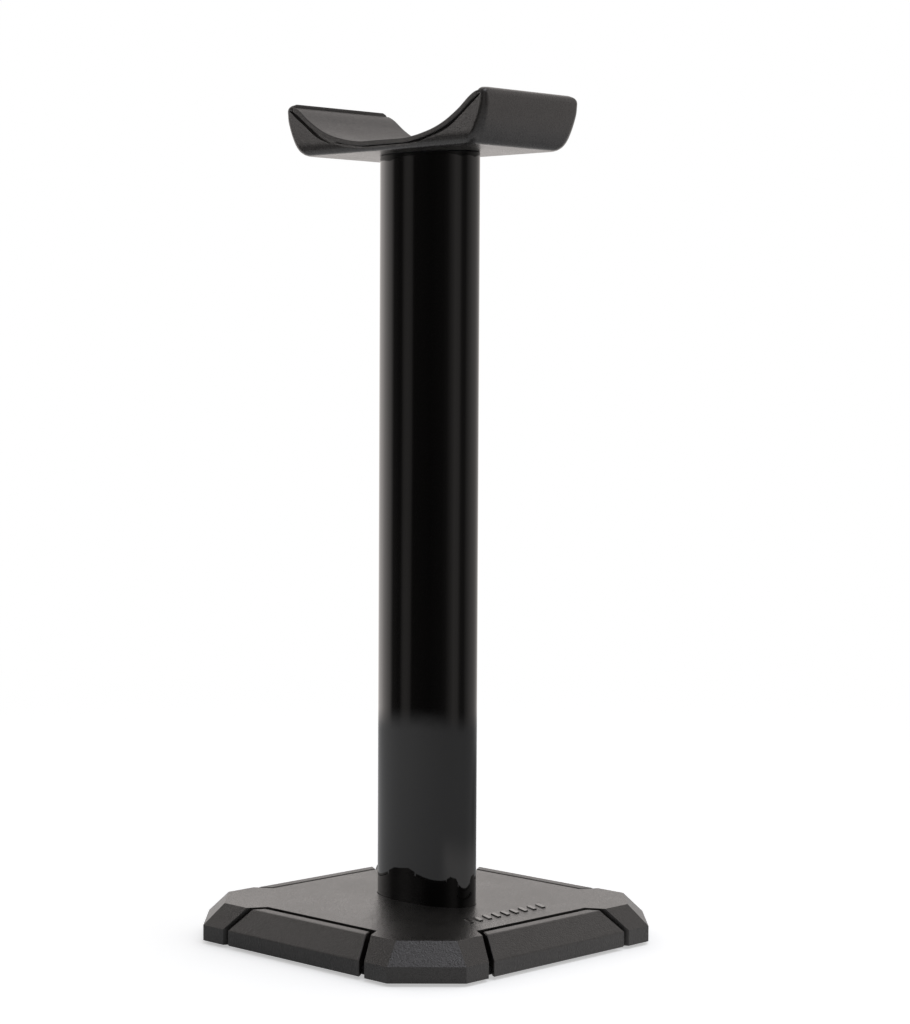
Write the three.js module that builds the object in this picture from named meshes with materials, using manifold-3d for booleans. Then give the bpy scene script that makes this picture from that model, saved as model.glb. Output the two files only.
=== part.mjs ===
// Headphone stand: a square base with truncated corners and four let-in edge bars,
// a tall oval column, and a cradle whose two raised ends keep the headband in place.
//
// Frame: millimetres, +Z up, origin on the ground at the centre of the base.
// The headband lies along X across the cradle; the cradle is long along Y.
import * as THREE from 'three';
import { ConvexGeometry } from 'three/addons/geometries/ConvexGeometry.js';
import { mergeVertices } from 'three/addons/utils/BufferGeometryUtils.js';
import Module from 'manifold-3d';

const wasm = await Module();
wasm.setup();

// ---------------------------------------------------------------- dimensions
const GAP = 0.3;                 // clearance between neighbouring pieces

const LIFT = 1.0;                // height of the base shell's lower edge above the ground
const HALF = 57.0;               // half side of the square base
const TRUNC = 97.7;              // |x| + |y| of the truncated corners
const EDGE_H = 4.8;              // height of the vertical outer face
const BEVEL = 6.4;               // horizontal run of the sloping face
const PLATE_H = 10.8;            // height of the flat top above the lower edge
const SKIN = 2.2;                // wall of the base cover
const PLATE_Z = LIFT + PLATE_H;

const BAR_IN = 46.8;             // inner face of an edge bar
const BAR_END = 23.1;            // half length of a bar at its inner face
const BAR_FLARE = 0.6;           // the ends splay by this much per mm outwards
const BAR_TOP = 11.0;            // height of a bar above the lower edge
const GROOVE = 1.8;              // groove between a bar and the cover

const BOTTOM_T = 2.0;            // bottom closing plate
const BALLAST_HALF = 42.0;
const BALLAST_TRUNC = 76.0;
const FOOT_R = 6.5;
const FOOT_AT = 36.0;
const COVER_SCREW_AT = 44.0;
const BAR_SCREW_X = 50.6;
const BAR_SCREW_Y = 16.0;

const COL_A = 9.2;               // column half width, along X
const COL_B = 19.3;              // column half width, along Y
const COL_N = 2.2;               // superellipse exponent of the column's section
const COL_WALL = 1.6;
const COL_SINK = 1.0;            // depth of the seat the column stands in
const BOLT_Y = 10.0;             // the two fastenings at each end of the column

const CRADLE_HX = 20.9;          // cradle half width, along X
const CRADLE_HY = 43.3;          // cradle half length, along Y
const UNDER_Z = 244.7;           // flat underside of the cradle
const LIP_Z = 261.1;             // top of the cradle's ends
const WALL_IN = 40.2;            // inner face of the end walls
const GROOVE_IN = 19.7;          // bottom of the groove that runs under the saddle's edge
const SPIGOT_Z = 242.4;          // lower end of the spigot that enters the column

const RIB_Y = -34.0;             // row of plain slanting ribs on the plate
const RIB_STEP = 4.0;
const RIB_H = 0.35;

// heights above the ground against the distance from the middle, along Y
const SADDLE_TOP = [[0, 247.8], [9, 247.8], [11, 247.95], [13, 248.2], [15, 248.5], [17, 248.9], [19, 249.35], [21, 249.85], [24, 250.85],
  [27, 252.15], [30, 253.8], [33, 255.7], [35, 257.25], [37, 258.7], [39, 259.75], [39.9, 260.05]];
const SADDLE_LOW = [[0, 246.45], [9, 246.45], [11, 246.6], [13, 246.85], [15, 247.15], [17, 247.5], [19, 247.95], [21, 248.45], [24, 249.35],
  [27, 250.5], [30, 252.05], [33, 253.9], [35, 255.3], [37, 256.85], [39, 258.05], [39.9, 258.5], [42, 259.5]];
const GROOVE_LOW = [[0, 245.6], [9, 245.6], [13, 245.95], [19, 246.9], [24, 248.1], [27, 249.2], [30, 250.7], [33, 252.8], [35, 254.2], [37, 255.6], [39, 257.0], [41.4, 258.8]];
// outer form of the shell at each height: half length, drawn-in sides, corner radius
const SHELL = [[UNDER_Z, 36.6, 2, 3.4], [245.0, 37.4, 1.3, 3.3], [245.4, 38, 0.9, 3.2], [246.0, 38.7, 0.5, 3.1], [246.6, 39.2, 0.28, 3], [247.5, 39.8, 0.05, 2.9], [248.6, 40.5, 0, 2.8],
  [250.8, 41.6, 0, 2.6], [253.7, 42.65, 0, 2.3], [256.3, 43.25, 0, 2], [258.0, CRADLE_HY, 0, 1.8], [259.0, 43.25, 0, 1.6], [259.9, 43, 0.25, 1.5], [260.6, 42.5, 0.85, 1.5], [LIP_Z, 41.6, 2, 1.5]];

// ------------------------------------------------------------------- helpers
function solid(geometry) {
  let g = geometry.clone();
  g.deleteAttribute('normal');
  g.deleteAttribute('uv');
  g = mergeVertices(g, 1e-4);
  return new wasm.Manifold(new wasm.Mesh({
    numProp: 3,
    vertProperties: new Float32Array(g.attributes.position.array),
    triVerts: new Uint32Array(g.index.array),
  }));
}

function geometryOf(body) {
  const m = body.getMesh();
  const n = m.numProp;
  const count = m.vertProperties.length / n;
  const pos = new Float32Array(count * 3);
  for (let i = 0; i < count; i++) {
    for (let k = 0; k < 3; k++) pos[3 * i + k] = m.vertProperties[n * i + k];
  }
  const g = new THREE.BufferGeometry();
  g.setAttribute('position', new THREE.BufferAttribute(pos, 3));
  g.setIndex(new THREE.BufferAttribute(new Uint32Array(m.triVerts), 1));
  g.computeVertexNormals();
  return g;
}

const hull = (pts) => solid(new ConvexGeometry(pts.map((p) => new THREE.Vector3(...p))));

// a round bar along Z between two heights, with its own radius at each end
function rod(x, y, z0, z1, r0, r1 = r0, sides = 20) {
  const g = new THREE.CylinderGeometry(r1, r0, z1 - z0, sides);
  g.rotateX(Math.PI / 2);
  g.translate(x, y, (z0 + z1) / 2);
  return solid(g);
}

function block(x0, x1, y0, y1, z0, z1) {
  const g = new THREE.BoxGeometry(x1 - x0, y1 - y0, z1 - z0);
  g.translate((x0 + x1) / 2, (y0 + y1) / 2, (z0 + z1) / 2);
  return solid(g);
}

// a flat outline in X and Y, raised from z0 to z1
function raise(points, z0, z1) {
  const shape = new THREE.Shape(points.map((p) => new THREE.Vector2(p[0], p[1])));
  const g = new THREE.ExtrudeGeometry(shape, { depth: z1 - z0, bevelEnabled: false });
  g.translate(0, 0, z0);
  return solid(g);
}

// a flat outline in Y and Z, drawn out along X between -hx and +hx
function drawAlongX(points, hx) {
  const shape = new THREE.Shape(points.map((p) => new THREE.Vector2(p[0], p[1])));
  const g = new THREE.ExtrudeGeometry(shape, { depth: 2 * hx, bevelEnabled: false });
  g.translate(0, 0, -hx);
  g.applyMatrix4(new THREE.Matrix4().makeBasis(
    new THREE.Vector3(0, 1, 0), new THREE.Vector3(0, 0, 1), new THREE.Vector3(1, 0, 0)));
  return solid(g);
}

function octagon(half, trunc) {
  const k = trunc - half;
  return [[half, -k], [half, k], [k, half], [-k, half], [-half, k], [-half, -k], [-k, -half], [k, -half]];
}

function superellipse(a, b, n, steps) {
  const out = [];
  for (let i = 0; i < steps; i++) {
    const t = (2 * Math.PI * i) / steps;
    const c = Math.cos(t), s = Math.sin(t);
    out.push([a * Math.sign(c) * Math.abs(c) ** (2 / n), b * Math.sign(s) * Math.abs(s) ** (2 / n)]);
  }
  return out;
}

function roundedRect(hx, hy, r, steps) {
  const out = [];
  for (const [cx, cy, a0] of [[hx - r, hy - r, 0], [-hx + r, hy - r, 90], [-hx + r, -hy + r, 180], [hx - r, -hy + r, 270]]) {
    for (let i = 0; i <= steps; i++) {
      const a = ((a0 + (90 * i) / steps) * Math.PI) / 180;
      out.push([cx + r * Math.cos(a), cy + r * Math.sin(a)]);
    }
  }
  return out;
}

const root = new THREE.Group();

const FINISH = {
  satin: () => new THREE.MeshStandardMaterial({ color: 0x1b1b1c, roughness: 0.55, metalness: 0.0 }),
  bar: () => new THREE.MeshStandardMaterial({ color: 0x202022, roughness: 0.5, metalness: 0.0 }),
  gloss: () => new THREE.MeshStandardMaterial({ color: 0x050506, roughness: 0.08, metalness: 0.0 }),
  under: () => new THREE.MeshStandardMaterial({ color: 0x161617, roughness: 0.7, metalness: 0.0 }),
  rubber: () => new THREE.MeshStandardMaterial({ color: 0x101010, roughness: 0.9, metalness: 0.0 }),
  steel: () => new THREE.MeshStandardMaterial({ color: 0x8c8e91, roughness: 0.4, metalness: 1.0 }),
  screw: () => new THREE.MeshStandardMaterial({ color: 0x2a2b2d, roughness: 0.35, metalness: 1.0 }),
};

function place(name, body, finish, turn = 0) {
  const mesh = new THREE.Mesh(geometryOf(body), FINISH[finish]());
  mesh.name = name;
  mesh.rotation.z = turn;
  root.add(mesh);
  return mesh;
}

// ---------------------------------------------------------------- base cover
// Outer form: vertical edge, then one sloping face up to the flat top.
function baseForm(inset, z0, zEdge, zTop) {
  const o = octagon(HALF - inset, TRUNC - inset * Math.SQRT2);
  const t = octagon(HALF - BEVEL - inset, TRUNC - (BEVEL + inset) * Math.SQRT2);
  return hull([
    ...o.map((p) => [p[0], p[1], z0]),
    ...o.map((p) => [p[0], p[1], zEdge]),
    ...t.map((p) => [p[0], p[1], zTop]),
  ]);
}

// plan of a bar on the +X side, grown by g on its inner face and its two ends
function barPlan(grow, xOut) {
  const side = grow * Math.sqrt(1 + BAR_FLARE * BAR_FLARE);
  const x0 = BAR_IN - grow;
  const y = (x) => BAR_END + side + BAR_FLARE * (x - BAR_IN);
  return [[x0, -y(x0)], [xOut, -y(xOut)], [xOut, y(xOut)], [x0, y(x0)]];
}

const quarter = (body, k) => body.rotate([0, 0, 90 * k]);

const notch = raise(barPlan(GROOVE, HALF + 3), LIFT - 1, PLATE_Z + 2);
const notchWall = raise(barPlan(GROOVE + 2.0, HALF + 3), LIFT - 1, PLATE_Z + 2);
const pocketZ = LIFT + GAP + BOTTOM_T + GAP;

let cavity = baseForm(SKIN, LIFT - 1, LIFT + EDGE_H - 0.9, PLATE_Z - SKIN);
for (let k = 0; k < 4; k++) cavity = cavity.subtract(quarter(notchWall, k));
// corner posts that take the cover screws
for (const [sx, sy] of [[1, 1], [-1, 1], [-1, -1], [1, -1]]) {
  cavity = cavity.subtract(rod(sx * COVER_SCREW_AT, sy * COVER_SCREW_AT, 0, PLATE_Z, 3.4, 3.4, 14));
}
const platePocket = raise(octagon(HALF - SKIN + 0.2, TRUNC - (SKIN - 0.2) * Math.SQRT2), LIFT - 1, pocketZ);

let cover = baseForm(0, LIFT, LIFT + EDGE_H, PLATE_Z).subtract(cavity).subtract(platePocket);
for (let k = 0; k < 4; k++) cover = cover.subtract(quarter(notch, k));
cover = cover.subtract(raise(superellipse(COL_A + GAP, COL_B + GAP, COL_N, 64), PLATE_Z - COL_SINK, PLATE_Z + 1));
for (const s of [1, -1]) cover = cover.subtract(rod(0, s * BOLT_Y, 5, PLATE_Z + 1, 2.8, 2.8, 20));
for (const [sx, sy] of [[1, 1], [-1, 1], [-1, -1], [1, -1]]) {
  cover = cover.subtract(rod(sx * COVER_SCREW_AT, sy * COVER_SCREW_AT, 0, 8.9, 1.6, 1.6, 12));
}
// nine plain ribs in a row on the plate
for (let i = -4; i <= 4; i++) {
  const x = i * RIB_STEP;
  cover = cover.add(raise([[x - 1.8, RIB_Y - 2.4], [x - 0.2, RIB_Y - 2.4], [x + 1.8, RIB_Y + 2.4], [x + 0.2, RIB_Y + 2.4]], PLATE_Z - 0.2, PLATE_Z + RIB_H));
}
place('base_cover', cover, 'satin');

// ------------------------------------------------------------------ edge bars
function barForm() {
  const zT = LIFT + BAR_TOP;
  const slope = BEVEL / (PLATE_H - EDGE_H);
  const xTop = HALF - (BAR_TOP - EDGE_H) * slope;
  const y = (x) => BAR_END + BAR_FLARE * (x - BAR_IN);
  const pts = [];
  for (const s of [1, -1]) {
    pts.push([HALF, s * y(HALF), LIFT], [HALF, s * y(HALF), LIFT + EDGE_H], [xTop, s * y(xTop), zT],
      [BAR_IN, s * BAR_END, zT], [BAR_IN, s * BAR_END, LIFT]);
  }
  let b = hull(pts).subtract(platePocket);
  // moulded out from below, with two posts for its screws
  let core = hull([[BAR_IN + 1.8, 20.6, pocketZ - 1], [BAR_IN + 1.8, -20.6, pocketZ - 1], [HALF - 2, 24.5, pocketZ - 1], [HALF - 2, -24.5, pocketZ - 1],
    [HALF - 2, 24.5, LIFT + EDGE_H - 0.8], [HALF - 2, -24.5, LIFT + EDGE_H - 0.8],
    [BAR_IN + 1.8, 20.6, zT - 1.9], [BAR_IN + 1.8, -20.6, zT - 1.9], [xTop - 0.9, 21.6, zT - 1.9], [xTop - 0.9, -21.6, zT - 1.9]]);
  for (const s of [1, -1]) core = core.subtract(rod(BAR_SCREW_X, s * BAR_SCREW_Y, 0, 20, 2.9, 2.9, 18));
  b = b.subtract(core);
  for (const s of [1, -1]) b = b.subtract(rod(BAR_SCREW_X, s * BAR_SCREW_Y, 0, 9.0, 1.35, 1.35, 12));
  return b;
}
const bar = barForm();
['edge_bar_right', 'edge_bar_back', 'edge_bar_left', 'edge_bar_front'].forEach((name, k) => {
  place(name, quarter(bar, k), 'bar');
});

// --------------------------------------------------------- bottom plate, feet
const bottomZ0 = LIFT + GAP;
const bottomZ1 = bottomZ0 + BOTTOM_T;
const corners = [['front_left', -1, -1], ['front_right', 1, -1], ['back_right', 1, 1], ['back_left', -1, 1]];
const FOOT_SEAT = 0.8;

let bottom = raise(octagon(HALF - SKIN - 0.1, TRUNC - (SKIN + 0.1) * Math.SQRT2), bottomZ0, bottomZ1);
for (const [, sx, sy] of corners) {
  bottom = bottom.subtract(rod(sx * FOOT_AT, sy * FOOT_AT, 0, bottomZ0 + FOOT_SEAT, FOOT_R + GAP, FOOT_R + GAP, 24));
  bottom = bottom.subtract(rod(sx * COVER_SCREW_AT, sy * COVER_SCREW_AT, 0, 5, 1.7, 1.7, 10));
  bottom = bottom.subtract(rod(sx * COVER_SCREW_AT, sy * COVER_SCREW_AT, bottomZ0 - 0.2, bottomZ0 + 1.3, 3.1, 3.1, 14));
}
const barScrewSpots = [];
for (let k = 0; k < 4; k++) {
  for (const s of [1, -1]) {
    const a = (k * Math.PI) / 2;
    const x = BAR_SCREW_X * Math.cos(a) - s * BAR_SCREW_Y * Math.sin(a);
    const y = BAR_SCREW_X * Math.sin(a) + s * BAR_SCREW_Y * Math.cos(a);
    barScrewSpots.push([x, y]);
    bottom = bottom.subtract(rod(x, y, 0, 5, 1.5, 1.5, 10));
    bottom = bottom.subtract(rod(x, y, bottomZ0 - 0.2, bottomZ0 + 1.2, 2.6, 2.6, 14));
  }
}
place('bottom_plate', bottom, 'under');

for (const [tag, sx, sy] of corners) {
  const z1 = bottomZ0 + FOOT_SEAT - GAP;
  const foot = rod(sx * FOOT_AT, sy * FOOT_AT, 0.35, z1, FOOT_R, FOOT_R, 24)
    .add(rod(sx * FOOT_AT, sy * FOOT_AT, 0, 0.351, FOOT_R - 0.35, FOOT_R, 24));
  place(`foot_pad_${tag}`, foot, 'rubber');
}

// a pan-head screw pointing up, with a cross recess in its head
function panScrew(x, y, zHead, headH, headR, shankR, zTip) {
  let s = rod(x, y, zHead, zHead + headH, headR * 0.86, headR, 14).add(rod(x, y, zHead + headH - 0.05, zTip - 0.8, shankR, shankR, 10));
  s = s.add(rod(x, y, zTip - 0.85, zTip, shankR, shankR * 0.45, 10));
  const w = headR * 0.17, l = headR * 0.62, d = headH * 0.5;
  s = s.subtract(block(x - l, x + l, y - w, y + w, zHead - 0.5, zHead + d));
  s = s.subtract(block(x - w, x + w, y - l, y + l, zHead - 0.5, zHead + d));
  return s;
}
for (const [tag, sx, sy] of corners) {
  place(`cover_screw_${tag}`, panScrew(sx * COVER_SCREW_AT, sy * COVER_SCREW_AT, bottomZ0 + 0.1, 0.95, 2.7, 1.3, 8.5), 'screw');
}
barScrewSpots.forEach(([x, y], i) => {
  const side = ['right', 'back', 'left', 'front'][Math.floor(i / 2)];
  place(`bar_screw_${side}_${(i % 2) + 1}`, panScrew(x, y, bottomZ0 + 0.1, 0.85, 2.25, 1.05, 8.6), 'screw');
});

// -------------------------------------------------------------- ballast plate
const ballastZ0 = bottomZ1 + 0.5;
const ballastZ1 = PLATE_Z - SKIN - GAP;
let ballast = raise(octagon(BALLAST_HALF, BALLAST_TRUNC), ballastZ0, ballastZ1);
for (const s of [1, -1]) {
  ballast = ballast.subtract(rod(0, s * BOLT_Y, 0, 20, 2.8, 2.8, 20));
  ballast = ballast.subtract(rod(0, s * BOLT_Y, 0, ballastZ0 + 3.4, 4.9, 4.9, 24));
}
place('ballast_plate', ballast, 'steel');

// --------------------------------------------------------------------- column
const colZ0 = PLATE_Z - COL_SINK + GAP;
const colZ1 = UNDER_Z - GAP;
const tube = raise(superellipse(COL_A, COL_B, COL_N, 64), colZ0, colZ1)
  .subtract(raise(superellipse(COL_A - COL_WALL, COL_B - COL_WALL, COL_N, 64), colZ0 - 1, colZ1 + 1));
place('column_tube', tube, 'gloss');

const plugPlan = superellipse(COL_A - COL_WALL - GAP, COL_B - COL_WALL - GAP, COL_N, 48);
let lowerPlug = raise(plugPlan, colZ0 + 0.1, 38);
let upperPlug = raise(plugPlan, 218, SPIGOT_Z - GAP);
for (const s of [1, -1]) {
  lowerPlug = lowerPlug.subtract(rod(0, s * BOLT_Y, 5, 34, 2.8, 2.8, 20));
  upperPlug = upperPlug.subtract(rod(0, s * BOLT_Y, 224, 260, 2.3, 2.3, 20));
}
place('lower_plug', lowerPlug, 'under');
place('upper_plug', upperPlug, 'under');

// socket-head screws up through ballast plate and cover into the lower plug
['base_screw_1', 'base_screw_2'].forEach((name, i) => {
  const y = (i ? -1 : 1) * BOLT_Y;
  let s = rod(0, y, ballastZ0 + 0.2, ballastZ0 + 3.1, 4.3, 4.3, 24).add(rod(0, y, ballastZ0 + 3.0, 31, 2.4, 2.4, 18));
  s = s.subtract(rod(0, y, ballastZ0 - 1, ballastZ0 + 1.9, 2.2, 2.2, 6));
  place(name, s, 'steel');
});

// ---------------------------------------------------------------- the cradle
// Lower shell: one smooth wall from the flat underside up to the lip at each end,
// open along its top for the saddle, with a groove along each side.
function levelRing(z, hy, draw, r) {
  return roundedRect(CRADLE_HX - draw, hy, r, 6).map(([x, y]) => [x, y, z]);
}
// both halves of a curve, from -Y to +Y
const bothWays = (curve, rise = 0) => [...curve.slice(1).map(([y, z]) => [-y, z + rise]).reverse(), ...curve.map(([y, z]) => [y, z + rise])];

let body = hull(SHELL.flatMap(([z, hy, draw, r]) => levelRing(z, hy, draw, r)));
const bed = bothWays(SADDLE_LOW.filter(([y]) => y < WALL_IN), -GAP);
bed[0] = [-WALL_IN, bed[0][1]];
bed[bed.length - 1] = [WALL_IN, bed[bed.length - 1][1]];
body = body.subtract(drawAlongX([...bed, [WALL_IN, 270], [-WALL_IN, 270]], 30));
// side grooves, just under the saddle's edge
const channel = [...bothWays(GROOVE_LOW), ...bothWays(SADDLE_LOW.map(([y, z]) => [Math.min(y, 41.4), z])).reverse()];
const channels = drawAlongX(channel, 30).subtract(block(-GROOVE_IN, GROOVE_IN, -60, 60, 230, 280));
body = body.subtract(channels);
// two wells, one in each wing, open at the top under the saddle
for (const s of [1, -1]) {
  const well = [[s * 20, UNDER_Z + 1.9], [s * 34.0, UNDER_Z + 1.9], [s * 37.0, 250.0], [s * 39.0, 255.2], [s * 39.0, 262], [s * 20, 262]];
  const w = drawAlongX(s > 0 ? well : well.slice().reverse(), GROOVE_IN - 2.2);
  body = body.subtract(w);
}
// spigot that centres the shell in the column
body = body.add(raise(superellipse(COL_A - COL_WALL - GAP, COL_B - COL_WALL - GAP, COL_N, 48), SPIGOT_Z, UNDER_Z + 0.4));
const bedZ = SADDLE_LOW[0][1] - GAP;
for (const s of [1, -1]) {
  body = body.subtract(rod(0, s * BOLT_Y, 240, 250, 2.3, 2.3, 20));
  body = body.subtract(rod(0, s * BOLT_Y, bedZ - 1.5, bedZ + 0.01, 2.3, 3.8, 20));
}
place('cradle_body', body, 'satin');

// countersunk screws down through the shell's floor into the upper plug
['cradle_screw_1', 'cradle_screw_2'].forEach((name, i) => {
  const y = (i ? -1 : 1) * BOLT_Y;
  const zTop = bedZ - 0.1;
  let s = rod(0, y, zTop - 1.35, zTop, 1.9, 3.3, 20).add(rod(0, y, 227, zTop - 1.3, 1.9, 1.9, 14));
  s = s.subtract(block(-1.6, 1.6, y - 0.35, y + 0.35, zTop - 0.7, zTop + 1));
  s = s.subtract(block(-0.35, 0.35, y - 1.6, y + 1.6, zTop - 0.7, zTop + 1));
  place(name, s, 'screw');
});

// Saddle: a thin curved plate between the end walls, level in the middle, rising at both ends.
const saddleEnd = WALL_IN - GAP;
const under = SADDLE_LOW.filter(([y]) => y <= saddleEnd);
const saddle = drawAlongX([...bothWays(under), ...bothWays(SADDLE_TOP).reverse()], CRADLE_HX);
place('cradle_saddle', saddle, 'satin');

export default root;
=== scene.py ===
import math

import bmesh
import bpy
from mathutils import Matrix, Vector


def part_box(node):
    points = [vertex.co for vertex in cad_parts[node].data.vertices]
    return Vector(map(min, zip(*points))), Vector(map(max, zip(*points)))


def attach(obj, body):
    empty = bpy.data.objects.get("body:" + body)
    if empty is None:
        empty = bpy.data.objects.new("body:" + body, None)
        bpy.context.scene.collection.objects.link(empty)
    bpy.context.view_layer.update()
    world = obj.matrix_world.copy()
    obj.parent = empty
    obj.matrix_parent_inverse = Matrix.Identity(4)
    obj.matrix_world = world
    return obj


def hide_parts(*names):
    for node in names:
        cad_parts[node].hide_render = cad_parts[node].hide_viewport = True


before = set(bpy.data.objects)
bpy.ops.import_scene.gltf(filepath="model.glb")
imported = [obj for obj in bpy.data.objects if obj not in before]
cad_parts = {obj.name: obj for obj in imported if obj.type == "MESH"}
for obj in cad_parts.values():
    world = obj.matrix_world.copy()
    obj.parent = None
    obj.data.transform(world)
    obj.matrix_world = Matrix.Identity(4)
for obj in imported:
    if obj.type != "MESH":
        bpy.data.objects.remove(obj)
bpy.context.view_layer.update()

scene = bpy.context.scene
MM = 0.001

# ------------------------------------------------------------------ dimensions
# the base, read back from the frame
lo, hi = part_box("base_cover")
LIFT = lo.z
HALF = hi.x
PLATE_Z = hi.z
TRUNC = 97.7 * MM
EDGE_Z = LIFT + 4.8 * MM
BEVEL = 6.4 * MM
SKIN = 2.2 * MM
lo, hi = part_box("edge_bar_right")
BAR_IN = lo.x
BAR_TOP = hi.z
BAR_FLARE = 0.6
BAR_END = 23.1 * MM
GROOVE = 1.8 * MM
lo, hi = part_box("column_tube")
COL_A, COL_B = hi.x, hi.y
COL_N = 2.2
COL_WALL = 1.6 * MM
SEAT_Z = PLATE_Z - 1.0 * MM
UNDER_Z = 244.7 * MM
lo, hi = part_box("cradle_saddle")
CR_HX = hi.x
lo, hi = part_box("cradle_body")
CR_HY = hi.y
LIP_Z = hi.z
BOLT_Y = 10.0 * MM


# --------------------------------------------------------------- mesh helpers
def to_object(bm, name):
    me = bpy.data.meshes.new(name)
    bmesh.ops.recalc_face_normals(bm, faces=bm.faces)
    bm.to_mesh(me)
    bm.free()
    ob = bpy.data.objects.new(name, me)
    scene.collection.objects.link(ob)
    return ob


def hull(points, name="tmp"):
    bm = bmesh.new()
    for p in points:
        bm.verts.new(p)
    res = bmesh.ops.convex_hull(bm, input=bm.verts)
    junk = [e for e in res["geom_interior"] + res["geom_unused"] if isinstance(e, bmesh.types.BMVert)]
    if junk:
        bmesh.ops.delete(bm, geom=list(set(junk)), context="VERTS")
    bmesh.ops.dissolve_limit(bm, angle_limit=math.radians(0.5), verts=bm.verts, edges=bm.edges)
    return to_object(bm, name)


def prism(outline, z0, z1, name="tmp"):
    bm = bmesh.new()
    a = [bm.verts.new((x, y, z0)) for x, y in outline]
    b = [bm.verts.new((x, y, z1)) for x, y in outline]
    n = len(outline)
    for i in range(n):
        bm.faces.new((a[i], a[(i + 1) % n], b[(i + 1) % n], b[i]))
    bm.faces.new(list(reversed(a)))
    bm.faces.new(b)
    return to_object(bm, name)


def lathe(profile, x, y, sides=64, name="tmp"):
    """profile: (radius, z) points from the axis to the axis."""
    bm = bmesh.new()
    rings = []
    for r, z in profile:
        if r < 1e-7:
            rings.append([bm.verts.new((x, y, z))])
        else:
            rings.append([bm.verts.new((x + r * math.cos(2 * math.pi * i / sides), y + r * math.sin(2 * math.pi * i / sides), z)) for i in range(sides)])
    for a, b in zip(rings, rings[1:]):
        for i in range(sides):
            j = (i + 1) % sides
            if len(a) == 1 and len(b) == 1:
                continue
            if len(a) == 1:
                bm.faces.new((a[0], b[i], b[j]))
            elif len(b) == 1:
                bm.faces.new((a[i], a[j], b[0]))
            else:
                bm.faces.new((a[i], a[j], b[j], b[i]))
    return to_object(bm, name)


def evaluated(ob):
    dg = bpy.context.evaluated_depsgraph_get()
    me = bpy.data.meshes.new_from_object(ob.evaluated_get(dg))
    old = ob.data
    ob.modifiers.clear()
    ob.data = me
    bpy.data.meshes.remove(old)
    return ob


def cut(ob, tool, how="DIFFERENCE", keep=False):
    m = ob.modifiers.new("b", "BOOLEAN")
    m.operation = how
    m.solver = "EXACT"
    m.object = tool
    bpy.context.view_layer.update()
    evaluated(ob)
    if not keep:
        bpy.data.objects.remove(tool)
    return ob


def tidy(ob, dist=1e-6, angle=0.3):
    bm = bmesh.new()
    bm.from_mesh(ob.data)
    bmesh.ops.remove_doubles(bm, verts=bm.verts, dist=dist)
    bmesh.ops.dissolve_limit(bm, angle_limit=math.radians(angle), verts=bm.verts, edges=bm.edges)
    bm.to_mesh(ob.data)
    bm.free()
    return ob


def soften(ob, width, segments=3, angle=25):
    m = ob.modifiers.new("edges", "BEVEL")
    m.width = width
    m.segments = segments
    m.limit_method = "ANGLE"
    m.angle_limit = math.radians(angle)
    m.harden_normals = False
    m.miter_outer = "MITER_ARC"
    m.use_clamp_overlap = True
    for p in ob.data.polygons:
        p.use_smooth = True
    bpy.context.view_layer.update()
    evaluated(ob)
    for p in ob.data.polygons:
        p.use_smooth = True
    w = ob.modifiers.new("flats", "WEIGHTED_NORMAL")
    w.keep_sharp = False
    w.weight = 100
    bpy.context.view_layer.update()
    evaluated(ob)
    return ob


def turned(ob, angle, name):
    me = ob.data.copy()
    me.transform(Matrix.Rotation(angle, 4, "Z"))
    o = bpy.data.objects.new(name, me)
    scene.collection.objects.link(o)
    return o


def octagon(half, trunc):
    k = trunc - half
    return [(half, -k), (half, k), (k, half), (-k, half), (-half, k), (-half, -k), (-k, -half), (k, -half)]


def superellipse(a, b, n, steps):
    out = []
    for i in range(steps):
        t = 2 * math.pi * i / steps
        c, s = math.cos(t), math.sin(t)
        out.append((a * math.copysign(abs(c) ** (2 / n), c), b * math.copysign(abs(s) ** (2 / n), s)))
    return out


def even(points, steps):
    """The same closed outline, re-cut into steps of equal length."""
    n = len(points)
    d = [0.0]
    for i in range(n):
        p, q = points[i], points[(i + 1) % n]
        d.append(d[-1] + math.hypot(q[0] - p[0], q[1] - p[1]))
    out, k = [], 0
    for i in range(steps):
        t = d[-1] * i / steps
        while d[k + 1] < t:
            k += 1
        f = (t - d[k]) / (d[k + 1] - d[k])
        p, q = points[k % n], points[(k + 1) % n]
        out.append((p[0] + (q[0] - p[0]) * f, p[1] + (q[1] - p[1]) * f))
    return out


# ------------------------------------------------------------------- materials
def nodes_of(name):
    m = bpy.data.materials.new(name)
    m.use_nodes = True
    nt = m.node_tree
    b = nt.nodes["Principled BSDF"]
    return m, nt, b


def noise(nt, coord, scale, detail=2.0, rough=0.5, stretch=None):
    n = nt.nodes.new("ShaderNodeTexNoise")
    n.inputs["Scale"].default_value = scale
    n.inputs["Detail"].default_value = detail
    n.inputs["Roughness"].default_value = rough
    src = coord
    if stretch:
        mp = nt.nodes.new("ShaderNodeMapping")
        mp.inputs["Scale"].default_value = stretch
        nt.links.new(coord, mp.inputs["Vector"])
        src = mp.outputs["Vector"]
    nt.links.new(src, n.inputs["Vector"])
    return n.outputs["Fac"]


def ramp(nt, src, a, b, lo_, hi_):
    r = nt.nodes.new("ShaderNodeMapRange")
    r.inputs["From Min"].default_value = a
    r.inputs["From Max"].default_value = b
    r.inputs["To Min"].default_value = lo_
    r.inputs["To Max"].default_value = hi_
    nt.links.new(src, r.inputs["Value"])
    return r.outputs["Result"]


def colour_mix(nt, fac, a, b):
    r = nt.nodes.new("ShaderNodeValToRGB")
    r.color_ramp.elements[0].position = 0.3
    r.color_ramp.elements[0].color = (*a, 1)
    r.color_ramp.elements[1].position = 0.7
    r.color_ramp.elements[1].color = (*b, 1)
    nt.links.new(fac, r.inputs["Fac"])
    return r.outputs["Color"]


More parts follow.
